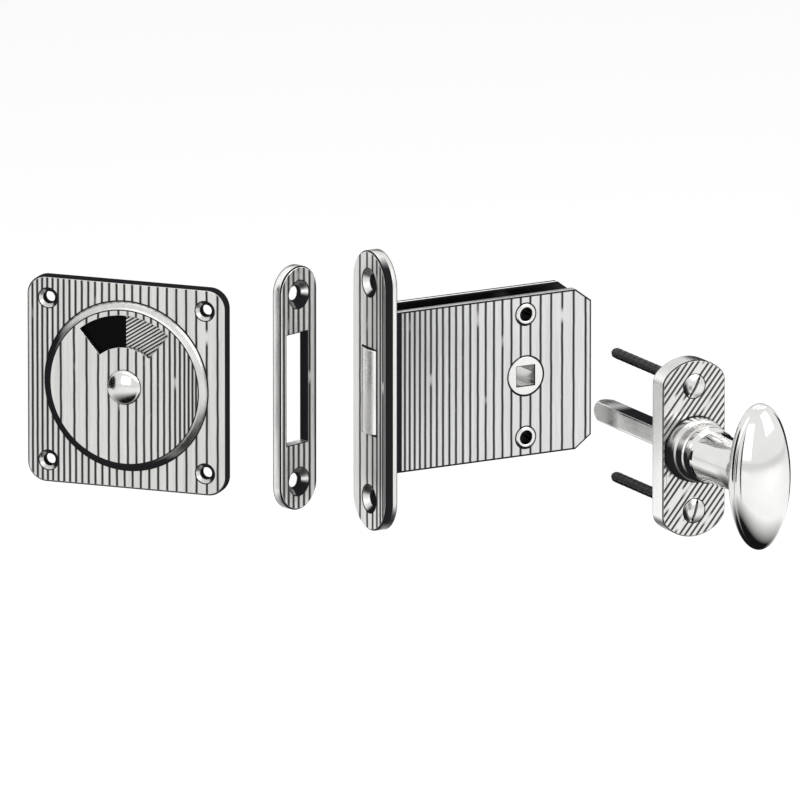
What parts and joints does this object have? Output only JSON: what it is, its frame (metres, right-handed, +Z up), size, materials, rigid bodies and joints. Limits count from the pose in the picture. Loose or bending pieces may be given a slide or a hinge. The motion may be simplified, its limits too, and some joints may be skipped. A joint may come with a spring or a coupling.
{
  "type": "indicator bolt",
  "caption": "Mortice privacy bolt with forend, strike plate, oval turn on a rose with a square spindle, and a square plate whose window shows engaged or vacant.",
  "frame": {"origin": "middle of the forend's front face, where the bolt comes out, half way between its two screw holes", "axes": "+X runs from the forend back into the door, along the bolt; +Y runs through the door from the turn's side to the indicator's side; +Z is up"},
  "size_m": [0.1534, 0.2223, 0.086],
  "materials": {
    "nickel_plate": "satin nickel plate with an upright grain",
    "polished_nickel": "polished nickel plate",
    "case_steel": "plain rolled steel, upright grain",
    "bolt_brass": "polished nickel plate on brass",
    "mechanism_steel": "oiled dark steel",
    "spring_steel": "blued spring steel",
    "screw_steel": "polished nickel plate on steel",
    "engaged_black": "black enamel",
    "vacant_hatched": "white enamel with fine black diagonal lines"
  },
  "bodies": {
    "case": {"forend": "nickel_plate", "case_plate_near": "case_steel", "case_plate_far": "case_steel", "ferrule_upper": "polished_nickel", "ferrule_lower": "polished_nickel", "guide_pin": "mechanism_steel", "guide_washer": "mechanism_steel", "strike_plate": "nickel_plate", "rose": "nickel_plate", "rose_screw_upper": "screw_steel", "rose_screw_lower": "screw_steel", "indicator_plate": "nickel_plate", "indicator_cover": "mechanism_steel", "spring_washer": "spring_steel"},
    "bolt": {"bolt_head": "bolt_brass", "bolt_tail": "mechanism_steel", "tail_rivets": "mechanism_steel", "bow_spring": "spring_steel", "spring_rivet": "mechanism_steel"},
    "follower": {"follower": "polished_nickel"},
    "knob": {"knob": "polished_nickel", "spindle": "polished_nickel", "spindle_pin": "mechanism_steel", "knob_washer": "mechanism_steel", "knob_circlip": "spring_steel"},
    "indicator_disc": {"indicator_disc": "mechanism_steel", "engaged_sector": "engaged_black", "vacant_sector": "vacant_hatched", "centre_rivet": "polished_nickel"}
  },
  "joints": [
    {"name": "follower_turn", "type": "hinge", "parent": "case", "child": "follower", "pos_m": [0.05, 0, 0], "axis": [0, -1, 0], "range_deg": [0, 90]},
    {"name": "bolt_throw", "type": "slide", "parent": "case", "child": "bolt", "axis": [-1, 0, 0], "range_m": [0, 0.01301]},
    {"name": "knob_turn", "type": "hinge", "parent": "case", "child": "knob", "pos_m": [0.05, -0.1086, 0], "axis": [0, -1, 0], "range_deg": [0, 90]},
    {"name": "indicator_turn", "type": "hinge", "parent": "case", "child": "indicator_disc", "pos_m": [-0.0578, 0.0429, 0], "axis": [0.7547, 0.6561, 0], "range_deg": [-45, 45]}
  ],
  "couplings": [
    {"joint": "follower_turn", "follows": "bolt_throw", "rad_per_m": 120.73}
  ]
}
